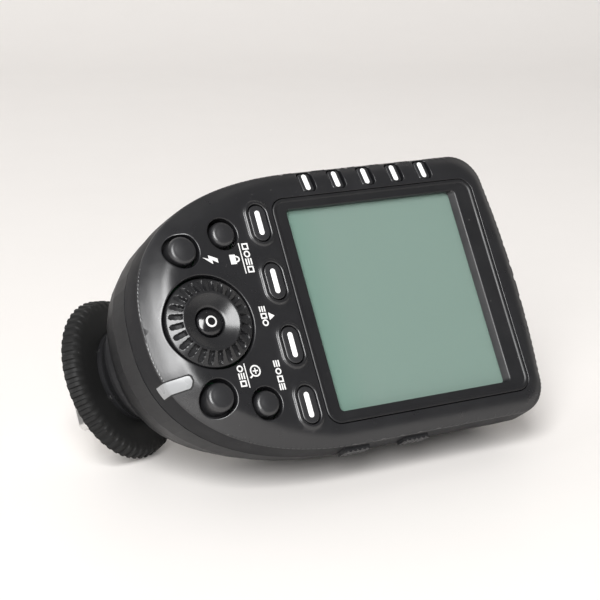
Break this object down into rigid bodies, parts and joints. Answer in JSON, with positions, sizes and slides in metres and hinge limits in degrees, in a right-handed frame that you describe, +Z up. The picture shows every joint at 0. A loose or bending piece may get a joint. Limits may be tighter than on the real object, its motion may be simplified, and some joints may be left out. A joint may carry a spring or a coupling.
{
  "type": "wireless flash trigger",
  "caption": "Radio trigger for studio flash: rounded body with display, dial, keys and a tilted hot-shoe foot with a screw-down lock ring.",
  "frame": {"origin": "centre of the bounding box's base, on the table the device lies on", "axes": "+Z up; +X along the body towards its display end; -Y the side the display faces"},
  "size_m": [0.0962, 0.0554, 0.0581],
  "materials": {
    "black_shell": "satin fine-textured",
    "black_key": "satin smooth",
    "gloss_black": "polished",
    "clear_window": "clear",
    "display": "grey-green liquid crystal",
    "diffuser": "white",
    "board_green": "solder mask",
    "light_guide": "clear frosted",
    "red_filter": "deep red",
    "spring_steel": "bright",
    "plated_steel": "satin",
    "gold_contact": "plated",
    "dark_steel": "black oxide",
    "cell_wrap": "printed sleeve without print",
    "flex_amber": "polyimide",
    "led_red": "clear red",
    "led_white": "phosphor"
  },
  "bodies": {
    "housing": {"front_shell": "black_shell", "rear_shell": "black_shell", "window_frame": "gloss_black", "lcd_window": "clear_window", "lcd_panel": "display", "lcd_backlight": "diffuser", "main_board": "board_green", "switch_domes": "spring_steel", "group_switch_strip": "flex_amber", "dial_encoder": "dark_steel", "status_lamp": "light_guide", "lamp_led": "led_white", "switch_bodies": "plated_steel", "usb_port": "plated_steel", "sync_jack": "gloss_black", "af_window": "red_filter", "af_led": "led_red", "battery_cells": "cell_wrap", "battery_tray": "black_shell", "contact_springs": "spring_steel", "contact_plates": "plated_steel", "antenna": "gold_contact", "radio_module": "plated_steel", "neck_post": "black_shell", "shoe_block": "black_shell", "shoe_plate": "plated_steel", "shell_screws": "dark_steel", "board_screws": "plated_steel", "foot_screws": "plated_steel"},
    "dial": {"dial_ring": "black_key"},
    "set_button": {"set_button": "gloss_black"},
    "flash_button": {"flash_button": "black_key"},
    "mode_button": {"mode_button": "black_key"},
    "zoom_button": {"zoom_button": "black_key"},
    "menu_button": {"menu_button": "black_key"},
    "soft_key_1": {"soft_key_1": "black_key"},
    "soft_key_2": {"soft_key_2": "black_key"},
    "soft_key_3": {"soft_key_3": "black_key"},
    "soft_key_4": {"soft_key_4": "black_key"},
    "group_key_1": {"group_key_1": "black_key"},
    "group_key_2": {"group_key_2": "black_key"},
    "group_key_3": {"group_key_3": "black_key"},
    "group_key_4": {"group_key_4": "black_key"},
    "group_key_5": {"group_key_5": "black_key"},
    "power_switch": {"power_switch": "black_key"},
    "af_switch": {"af_switch": "black_key"},
    "door": {"battery_door": "black_shell"},
    "ring": {"lock_ring": "black_shell"},
    "washer": {"ring_washer": "dark_steel"},
    "centre_pin": {"centre_pin": "gold_contact"},
    "data_pin_1": {"data_pin_1": "gold_contact"},
    "data_pin_2": {"data_pin_2": "gold_contact"},
    "data_pin_3": {"data_pin_3": "gold_contact"},
    "data_pin_4": {"data_pin_4": "gold_contact"},
    "locking_pin": {"locking_pin": "plated_steel"}
  },
  "joints": [
    {"name": "dial_turn", "type": "hinge", "parent": "housing", "child": "dial", "pos_m": [-0.02675, -0.0142, 0.03361], "axis": [0, -0.8517, 0.524], "continuous": true},
    {"name": "set_press", "type": "slide", "parent": "housing", "child": "set_button", "axis": [0, 0.8517, -0.524], "range_m": [0, 0.0005], "stiffness_N_per_m": 500},
    {"name": "flash_press", "type": "slide", "parent": "housing", "child": "flash_button", "axis": [0, 0.8517, -0.524], "range_m": [0, 0.0005], "stiffness_N_per_m": 500},
    {"name": "mode_press", "type": "slide", "parent": "housing", "child": "mode_button", "axis": [0, 0.8517, -0.524], "range_m": [0, 0.0005], "stiffness_N_per_m": 500},
    {"name": "zoom_press", "type": "slide", "parent": "housing", "child": "zoom_button", "axis": [0, 0.8517, -0.524], "range_m": [0, 0.0005], "stiffness_N_per_m": 500},
    {"name": "menu_press", "type": "slide", "parent": "housing", "child": "menu_button", "axis": [0, 0.8517, -0.524], "range_m": [0, 0.0005], "stiffness_N_per_m": 500},
    {"name": "soft_key_1_press", "type": "slide", "parent": "housing", "child": "soft_key_1", "axis": [0, 0.8517, -0.524], "range_m": [0, 0.0005], "stiffness_N_per_m": 500},
    {"name": "soft_key_2_press", "type": "slide", "parent": "housing", "child": "soft_key_2", "axis": [0, 0.8517, -0.524], "range_m": [0, 0.0005], "stiffness_N_per_m": 500},
    {"name": "soft_key_3_press", "type": "slide", "parent": "housing", "child": "soft_key_3", "axis": [0, 0.8517, -0.524], "range_m": [0, 0.0005], "stiffness_N_per_m": 500},
    {"name": "soft_key_4_press", "type": "slide", "parent": "housing", "child": "soft_key_4", "axis": [0, 0.8517, -0.524], "range_m": [0, 0.0005], "stiffness_N_per_m": 500},
    {"name": "group_key_1_press", "type": "slide", "parent": "housing", "child": "group_key_1", "axis": [0, 0.3971, -0.9178], "range_m": [0, 0.0005], "stiffness_N_per_m": 500},
    {"name": "group_key_2_press", "type": "slide", "parent": "housing", "child": "group_key_2", "axis": [0, 0.3971, -0.9178], "range_m": [0, 0.0005], "stiffness_N_per_m": 500},
    {"name": "group_key_3_press", "type": "slide", "parent": "housing", "child": "group_key_3", "axis": [0, 0.3971, -0.9178], "range_m": [0, 0.0005], "stiffness_N_per_m": 500},
    {"name": "group_key_4_press", "type": "slide", "parent": "housing", "child": "group_key_4", "axis": [0, 0.3971, -0.9178], "range_m": [0, 0.0005], "stiffness_N_per_m": 500},
    {"name": "group_key_5_press", "type": "slide", "parent": "housing", "child": "group_key_5", "axis": [0, 0.3971, -0.9178], "range_m": [0, 0.0005], "stiffness_N_per_m": 500},
    {"name": "power_slide", "type": "slide", "parent": "housing", "child": "power_switch", "axis": [1, 0, 0], "range_m": [0, 0.004]},
    {"name": "af_slide", "type": "slide", "parent": "housing", "child": "af_switch", "axis": [1, 0, 0], "range_m": [0, 0.004]},
    {"name": "door_slide", "type": "slide", "parent": "housing", "child": "door", "axis": [1, 0, 0], "range_m": [0, 0.03]},
    {"name": "washer_lift", "type": "slide", "parent": "housing", "child": "washer", "axis": [0.5165, -0.7293, 0.4487], "range_m": [-0.0015, 0.0007]},
    {"name": "ring_turn", "type": "hinge", "parent": "washer", "child": "ring", "pos_m": [-0.03324, 0.01529, 0.01547], "axis": [0.5165, -0.7293, 0.4487], "range_deg": [-540, 252]},
    {"name": "centre_pin_press", "type": "slide", "parent": "housing", "child": "centre_pin", "axis": [0.5165, -0.7293, 0.4487], "range_m": [0, 0.0007], "stiffness_N_per_m": 300},
    {"name": "data_pin_1_press", "type": "slide", "parent": "housing", "child": "data_pin_1", "axis": [0.5165, -0.7293, 0.4487], "range_m": [0, 0.0007], "stiffness_N_per_m": 300},
    {"name": "data_pin_2_press", "type": "slide", "parent": "housing", "child": "data_pin_2", "axis": [0.5165, -0.7293, 0.4487], "range_m": [0, 0.0007], "stiffness_N_per_m": 300},
    {"name": "data_pin_3_press", "type": "slide", "parent": "housing", "child": "data_pin_3", "axis": [0.5165, -0.7293, 0.4487], "range_m": [0, 0.0007], "stiffness_N_per_m": 300},
    {"name": "data_pin_4_press", "type": "slide", "parent": "housing", "child": "data_pin_4", "axis": [0.5165, -0.7293, 0.4487], "range_m": [0, 0.0007], "stiffness_N_per_m": 300},
    {"name": "locking_pin_press", "type": "slide", "parent": "housing", "child": "locking_pin", "axis": [0.5165, -0.7293, 0.4487], "range_m": [0, 0.0012], "stiffness_N_per_m": 300}
  ],
  "couplings": [
    {"joint": "ring_turn", "follows": "washer_lift", "rad_per_m": 6283.2}
  ]
}
